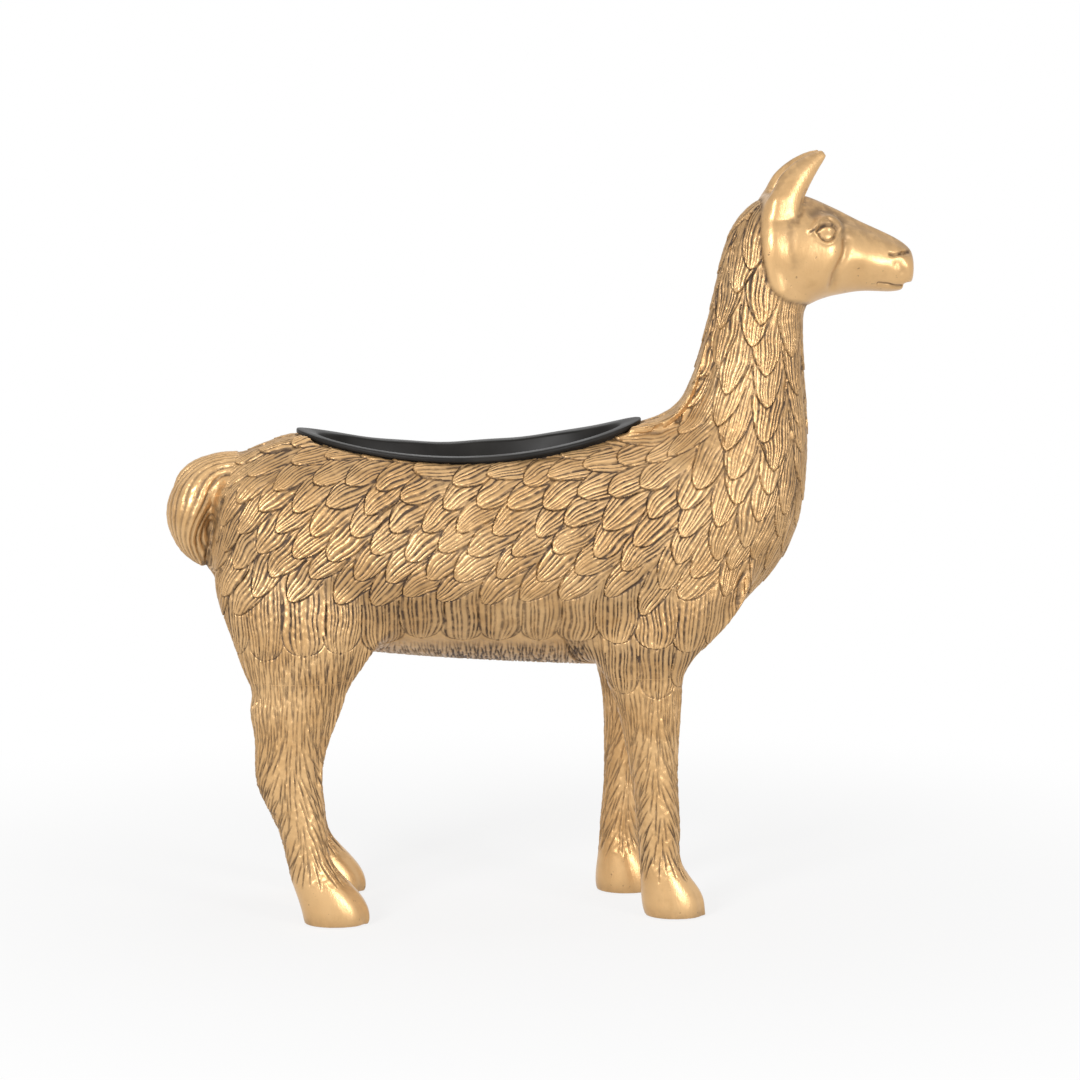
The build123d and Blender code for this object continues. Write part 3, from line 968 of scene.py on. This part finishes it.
def carved_skin():
    """The skin of the gold castings with its carving; the wash with the painted shade, and the bare parts,
    are attributes.
    """
    mesh = whole_form()
    points, normals = read_points(mesh), read_normals(mesh)
    everyone = np.ones(len(points), dtype=bool)
    groups = [
        fleece_tufts(points, normals),
        scallops(points, normals, HEM_HEIGHT, SKIRT, everyone),
        scallops(points, normals, SECOND_HEM_HEIGHT, CUFF, points[:, 0] > CUFF_BACK),
    ]
    hairs = leg_hairs(points, normals)
    fine = subdivided(mesh)
    points, normals = read_points(fine), read_normals(fine)
    height, dark = carve_tufts(points, normals, all_tufts(groups))
    face_depth = inside_face(points)
    on_tail = ramp(behind_crease(points), 0, 1.5)
    fleece = (1 - on_tail) * (1 - ramp(face_depth, -1, 0.5))
    hem = np.where(points[:, 0] > CUFF_BACK, SECOND_HEM_HEIGHT, HEM_HEIGHT)
    hair = carve_hair(points, normals, hairs) * (1 - ramp(points[:, 2] - hem, -HEM_BLEND, HEM_BLEND))
    tail = carve_tail(points) * on_tail
    crease, _, _ = line_distance(points, TAIL_CREASE[2:])
    crease = np.exp(-(crease / TAIL_CREASE_WIDTH) ** 2)
    face_edge = np.exp(-(face_depth / FACE_EDGE_WIDTH) ** 2)
    face_rise, face_dark = carve_face(points, normals)
    hooves = 1 - ramp(points[:, 2], HOOF_TOP - 4, HOOF_TOP + 2)
    bare = np.maximum(hooves, ramp(face_depth, -1, 1))
    height = height * fleece + face_rise + LUMP * ripple(points, LUMP_LENGTH) * (1 - bare)
    height -= HAIR_DEPTH * hair + TAIL_DEPTH * tail + CREASE_DEPTH * crease + FACE_EDGE_DEPTH * face_edge
    # Brown wash in the carved lines, with painted shade at the tuft roots, in the face's hollows and on the
    # eyeball
    dark = dark * fleece + HAIR_WASH * hair + tail + crease + FACE_EDGE_WASH * face_edge + face_dark
    dark += painted_shade_and_wash(points, normals, face_depth)
    write_points(fine, points + normals * height[:, None])
    set_attribute(fine, "dark", np.clip(dark, 0, 1))
    set_attribute(fine, "bare", bare)
    layer = fine.attributes.new("form", "FLOAT_VECTOR", "POINT")
    layer.data.foreach_set("vector", normals.ravel().astype(np.float32))
    return fine


def liner_skin():
    """The liner with a rounded lip; the far edge of its rim waves a little."""
    rim = rim_curve()
    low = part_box("liner")[0][2] / MM
    lowest = rim(-rim[1] / (2 * rim[2]))

    def level(inset_more, height):
        inset = LINER_WALL_INSET + inset_more + LINER_SLOPE * (lowest - height)
        return inset, np.full(OVAL_STEPS, height)

    def corner(inset_more, floor, share):
        inset, heights = level(inset_more, floor + LINER_FILLET * (1 - math.sin(share * math.pi / 2)))
        return inset + LINER_FILLET * (1 - math.cos(share * math.pi / 2)), heights

    shares = np.linspace(1, 0, LINER_FILLET_STEPS)
    stations = [corner(0, low, share) for share in shares]
    stations += [level(0, low + rise) for rise in LINER_RINGS]
    x, y = oval(0)
    far = np.clip(y / y.max(), 0, 1)
    wave = RIM_WAVE * far * np.sin(RIM_WAVE_TURN * x + RIM_WAVE_START) * np.sin(RIM_SWELL_TURN * x)
    for inset, height in LINER_RIM:
        stations.append((inset, rim(oval(inset)[0]) + height + wave * ramp(height, -2.0, -0.5)))
    stations += [level(LINER_WALL, low + rise) for rise in LINER_RINGS[::-1]]
    stations += [corner(LINER_WALL, low + LINER_WALL, share) for share in shares[::-1]]
    rings = []
    for inset, heights in stations:
        x, y = oval(inset)
        rings.append(np.stack([x, y, heights], axis=1))
    return stacked("liner_tub", rings)


# Parting the skin into the castings

def upright_block(x, y, top):
    """Block between two places along and across, from below the floor to the given height."""
    outline = ((x[0], BLOCK_BOTTOM), (x[1], BLOCK_BOTTOM), (x[1], top), (x[0], top))
    return prism(outline, *y)


def legs_block():
    return upright_block((-BLOCK_ALONG, BLOCK_ALONG), (-BLOCK_ACROSS, BLOCK_ACROSS), LEG_JOINT_HEIGHT)


def leg_block(leg):
    end, side = leg.split("_")
    x = (LEG_DIVIDE, BLOCK_ALONG) if end == "front" else (-BLOCK_ALONG, LEG_DIVIDE)
    y = (0, BLOCK_ACROSS) if side == "left" else (-BLOCK_ACROSS, 0)
    return upright_block(x, y, LEG_JOINT_HEIGHT + LEG_BLOCK_OVERLAP)


def tail_block():
    outline = [(TAIL_CREASE[0][0], TAIL_TOP)] + list(TAIL_CREASE) + [(TAIL_CREASE[-1][0], TAIL_BOTTOM)]
    outline += [(TAIL_BACK, TAIL_BOTTOM), (TAIL_BACK, TAIL_TOP)]
    return prism(outline[::-1], -BLOCK_ACROSS, BLOCK_ACROSS)


def head_block():
    outline = []
    for angle in np.linspace(math.pi, 1.5 * math.pi, 9):
        along = HEAD_BACK + JAW_RADIUS * (1 + math.cos(angle))
        outline.append((along, HEAD_BOTTOM + JAW_RADIUS * (1 + math.sin(angle))))
    outline += [(HEAD_FRONT, HEAD_BOTTOM), (HEAD_FRONT, HEAD_TOP), (HEAD_BACK, HEAD_TOP)]
    return prism(outline, -BLOCK_ACROSS, BLOCK_ACROSS)


def castings(skin):
    """Meshes of the castings by name, cut out of the skin."""
    lower = cut(skin.copy(), "INTERSECT", legs_block())
    rest = cut(skin, "DIFFERENCE", legs_block())
    parts = {"leg_" + leg: cut(lower.copy(), "INTERSECT", leg_block(leg)) for leg in LEGS}
    for name, block in (("tail", tail_block), ("head", head_block)):
        parts[name] = cut(rest.copy(), "INTERSECT", block())
        rest = cut(rest, "DIFFERENCE", block())
    parts["body_shell"] = cut(rest, "DIFFERENCE", opening_cutter(rim_curve()))
    return parts


# Materials

def new_material(name):
    material = bpy.data.materials.new(name)
    material.use_nodes = True
    return material, material.node_tree, material.node_tree.nodes["Principled BSDF"]


def add_noise(tree, scale, detail, stretch=(1, 1, 1)):
    place = tree.nodes.new("ShaderNodeTexCoord")
    mapping = tree.nodes.new("ShaderNodeMapping")
    mapping.inputs["Scale"].default_value = stretch
    noise = tree.nodes.new("ShaderNodeTexNoise")
    noise.inputs["Scale"].default_value = scale
    noise.inputs["Detail"].default_value = detail
    tree.links.new(place.outputs["Object"], mapping.inputs["Vector"])
    tree.links.new(mapping.outputs["Vector"], noise.inputs["Vector"])
    return noise.outputs["Fac"]


def add_range(tree, value, low, high, to_low, to_high):
    node = tree.nodes.new("ShaderNodeMapRange")
    node.interpolation_type = "SMOOTHSTEP"
    node.inputs["From Min"].default_value = low
    node.inputs["From Max"].default_value = high
    node.inputs["To Min"].default_value = to_low
    node.inputs["To Max"].default_value = to_high
    tree.links.new(value, node.inputs["Value"])
    return node.outputs["Result"]


def add_math(tree, operation, first, second):
    node = tree.nodes.new("ShaderNodeMath")
    node.operation = operation
    for socket, value in zip(node.inputs, (first, second)):
        if isinstance(value, (int, float)):
            socket.default_value = value
        else:
            tree.links.new(value, socket)
    return node.outputs[0]


def add_mix(tree, factor, first, second):
    node = tree.nodes.new("ShaderNodeMix")
    node.data_type = "RGBA"
    tree.links.new(factor, node.inputs[0])
    for socket, value in zip((node.inputs[6], node.inputs[7]), (first, second)):
        if isinstance(value, tuple):
            socket.default_value = (*value, 1)
        else:
            tree.links.new(value, socket)
    return node.outputs[2]


def add_attribute(tree, name):
    node = tree.nodes.new("ShaderNodeAttribute")
    node.attribute_name = name
    return node.outputs["Fac"]


def gold_material():
    """Cloudy antique gold with a brown wash in the carving and painted shade from the dark attribute, pits
    in the smooth parts and a fine grain.
    """
    material, tree, shader = new_material("antique_gold")
    clouds = add_noise(tree, 38, 3)
    gold = add_mix(tree, add_range(tree, clouds, 0.35, 0.65, 0, 1), GOLD, PALE_GOLD)
    smears = add_range(tree, add_noise(tree, 120, 4), 0.52, 0.75, 0, 0.55)
    gold = add_mix(tree, smears, gold, WASHED_GOLD)
    bare = add_attribute(tree, "bare")
    gold = add_mix(tree, add_math(tree, "MULTIPLY", bare, 0.5), gold, PALE_GOLD)
    # Fine and broad unevenness of the wash and of the painted shade
    wash = add_range(tree, add_noise(tree, 260, 2), 0.3, 0.6, 0.55, 1.0)
    patches = add_range(tree, add_noise(tree, 16, 2), 0.35, 0.65, 0.8, 1.2)
    uneven = add_math(tree, "MULTIPLY", wash, patches)
    dark = add_math(tree, "MULTIPLY", add_attribute(tree, "dark"), uneven)
    speck = add_range(tree, add_noise(tree, 420, 1), 0.71, 0.77, 0, 0.5)
    pits = add_math(tree, "MULTIPLY", speck, bare)
    dark = add_math(tree, "MAXIMUM", dark, pits)
    # The dark attribute mixes in brown: wash in the carving, and painted shade
    tree.links.new(add_mix(tree, dark, gold, BROWN_WASH_AND_SHADE), shader.inputs["Base Color"])
    shade = add_range(tree, dark, 0, 1, 0.33, 0.62)
    tree.links.new(shade, shader.inputs["Roughness"])
    metal = add_range(tree, dark, 0, 1, 0.60, 0.10)
    tree.links.new(metal, shader.inputs["Metallic"])
    bump = tree.nodes.new("ShaderNodeBump")
    bump.inputs["Strength"].default_value = 0.25
    bump.inputs["Distance"].default_value = 0.0004
    grain = add_math(tree, "SUBTRACT", add_noise(tree, 900, 3, (1, 1, 0.35)), pits)
    tree.links.new(grain, bump.inputs["Height"])
    tree.links.new(bump.outputs["Normal"], shader.inputs["Normal"])
    return material


def plastic_material():
    """Black plastic with a soft sheen that is uneven from handling."""
    material, tree, shader = new_material("black_plastic")
    clouds = add_noise(tree, 45, 4)
    wear = add_range(tree, clouds, 0.3, 0.7, 0, 1)
    tone = add_mix(tree, wear, BLACK_PLASTIC, WORN_PLASTIC)
    tree.links.new(tone, shader.inputs["Base Color"])
    tree.links.new(add_range(tree, clouds, 0.3, 0.7, 0.36, 0.50), shader.inputs["Roughness"])
    shader.inputs["Specular IOR Level"].default_value = 0.13
    return material


def steel_material():
    material, tree, shader = new_material("steel")
    streaks = add_noise(tree, 300, 2, (1, 1, 0.05))
    tone = add_mix(tree, streaks, DARK_STEEL, PALE_STEEL)
    tree.links.new(tone, shader.inputs["Base Color"])
    tree.links.new(add_range(tree, streaks, 0.3, 0.7, 0.28, 0.42), shader.inputs["Roughness"])
    shader.inputs["Metallic"].default_value = 1.0
    return material


def felt_material():
    material, tree, shader = new_material("felt")
    fibres = add_noise(tree, 1500, 4)
    tone = add_mix(tree, fibres, DARK_FELT, PALE_FELT)
    tree.links.new(tone, shader.inputs["Base Color"])
    shader.inputs["Roughness"].default_value = 0.95
    return material


def floor_material():
    """Pale floor that keeps the shadow and fades to white away from the object."""
    material, tree, shader = new_material("floor")
    shader.inputs["Base Color"].default_value = FLOOR_TONE
    shader.inputs["Roughness"].default_value = 0.9
    shader.inputs["Specular IOR Level"].default_value = 0.0
    white = tree.nodes.new("ShaderNodeEmission")
    place = tree.nodes.new("ShaderNodeNewGeometry")
    length = tree.nodes.new("ShaderNodeVectorMath")
    length.operation = "LENGTH"
    tree.links.new(place.outputs["Position"], length.inputs[0])
    fade = add_range(tree, length.outputs["Value"], *FLOOR_FADE, FLOOR_LIFT, 1.0)
    factor = add_math(tree, "MULTIPLY", fade, seen_directly(tree))
    blend = tree.nodes.new("ShaderNodeMixShader")
    tree.links.new(factor, blend.inputs[0])
    tree.links.new(shader.outputs[0], blend.inputs[1])
    tree.links.new(white.outputs[0], blend.inputs[2])
    tree.links.new(blend.outputs[0], tree.nodes["Material Output"].inputs["Surface"])
    return material


def seen_directly(tree):
    """One for rays from the camera and for reflections and refractions, else zero."""
    path = tree.nodes.new("ShaderNodeLightPath")
    seen = add_math(tree, "MAXIMUM", path.outputs["Is Camera Ray"], path.outputs["Is Glossy Ray"])
    return add_math(tree, "MAXIMUM", seen, path.outputs["Is Transmission Ray"])


def dress(piece, material):
    piece.data.materials.clear()
    piece.data.materials.append(material)


# Texture layout for baking

def lay_out(mesh):
    """Lays each face flat from the side that its form faces, before carving."""
    forms = np.empty(len(mesh.vertices) * 3, dtype=np.float32)
    mesh.attributes["form"].data.foreach_get("vector", forms)
    forms = forms.reshape(-1, 3)
    corners = np.empty(len(mesh.loops), dtype=np.int32)
    mesh.loops.foreach_get("vertex_index", corners)
    starts = np.empty(len(mesh.polygons), dtype=np.int32)
    mesh.polygons.foreach_get("loop_start", starts)
    facing = np.add.reduceat(forms[corners], starts, axis=0)
    axis = np.argmax(np.abs(facing), axis=1)
    positive = np.take_along_axis(facing, axis[:, None], axis=1)[:, 0] >= 0
    sizes = np.diff(np.append(starts, len(corners)))
    axis, positive = np.repeat(axis, sizes), np.repeat(positive, sizes)
    points = read_points(mesh)
    points = (points - points.min(axis=0))[corners]
    flat = np.zeros((len(corners), 2))
    for (side, sign), place in ATLAS_PLACES.items():
        chosen = (axis == side) & (positive == (sign > 0))
        flat[chosen] = points[chosen][:, ATLAS_AXES[side]] + place
    layer = mesh.uv_layers.new(name="OFBake")
    layer.data.foreach_set("uv", (flat / ATLAS_SIDE).ravel().astype(np.float32))
    mesh.attributes.remove(mesh.attributes["form"])


def add_casting(name, mesh, *nodes):
    lay_out(mesh)
    mesh.shade_smooth()
    mesh.set_sharp_from_angle(angle=math.radians(SKIN_SHARP_ANGLE))
    piece = show(name, mesh)
    dress(piece, gold)
    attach(piece, "llama")
    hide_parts(*nodes)


# Stage, light and camera

def add_light(name, place, size, power):
    light = bpy.data.lights.new(name, "AREA")
    light.shape = "DISK"
    light.size = size
    light.energy = power
    lamp = bpy.data.objects.new(name, light)
    bpy.context.scene.collection.objects.link(lamp)
    lamp.location = place
    aim = Vector((0, 0, CAMERA_TARGET_HEIGHT * MM)) - Vector(place)
    lamp.rotation_euler = aim.to_track_quat("-Z", "Y").to_euler()


def set_world():
    world = bpy.data.worlds.new("studio")
    bpy.context.scene.world = world
    world.use_nodes = True
    tree = world.node_tree
    tone = add_mix(tree, seen_directly(tree), WORLD_LIGHT, WHITE)
    tree.links.new(tone, tree.nodes["Background"].inputs["Color"])


def add_floor():
    bpy.ops.mesh.primitive_plane_add(size=FLOOR_SIZE)
    floor = bpy.context.object
    floor.name = "floor"
    floor.data.materials.append(floor_material())


def add_camera():
    camera = bpy.data.cameras.new("camera")
    camera.lens = CAMERA_LENS
    camera.sensor_width = CAMERA_SENSOR
    holder = bpy.data.objects.new("camera", camera)
    bpy.context.scene.collection.objects.link(holder)
    angle = math.radians(CAMERA_AZIMUTH)
    along = math.sin(angle) * CAMERA_DISTANCE
    away = -math.cos(angle) * CAMERA_DISTANCE
    place = Vector((along, away, CAMERA_HEIGHT)) * MM
    holder.location = place
    aim = Vector((0, 0, CAMERA_TARGET_HEIGHT * MM)) - place
    holder.rotation_euler = aim.to_track_quat("-Z", "Y").to_euler()
    bpy.context.scene.camera = holder


gold = gold_material()
for node, mesh in castings(carved_skin()).items():
    ears = ("ear_left", "ear_right") if node == "head" else ()
    add_casting(node + "_skin", mesh, node, *ears)

tub = show("liner_tub", liner_skin())
tub.data.shade_smooth()
tub.data.set_sharp_from_angle(angle=math.radians(LINER_SHARP_ANGLE))
dress(tub, plastic_material())
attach(tub, "liner")
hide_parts("liner")

steel = steel_material()
felt = felt_material()
dress(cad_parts["neck_dowel"], steel)
for leg in LEGS:
    dress(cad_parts["leg_rod_" + leg], steel)
    dress(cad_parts["foot_pad_" + leg], felt)

add_floor()
set_world()
for name, lamp in LAMPS.items():
    add_light(name, *lamp)
add_camera()
bpy.context.scene.view_settings.view_transform = "Standard"
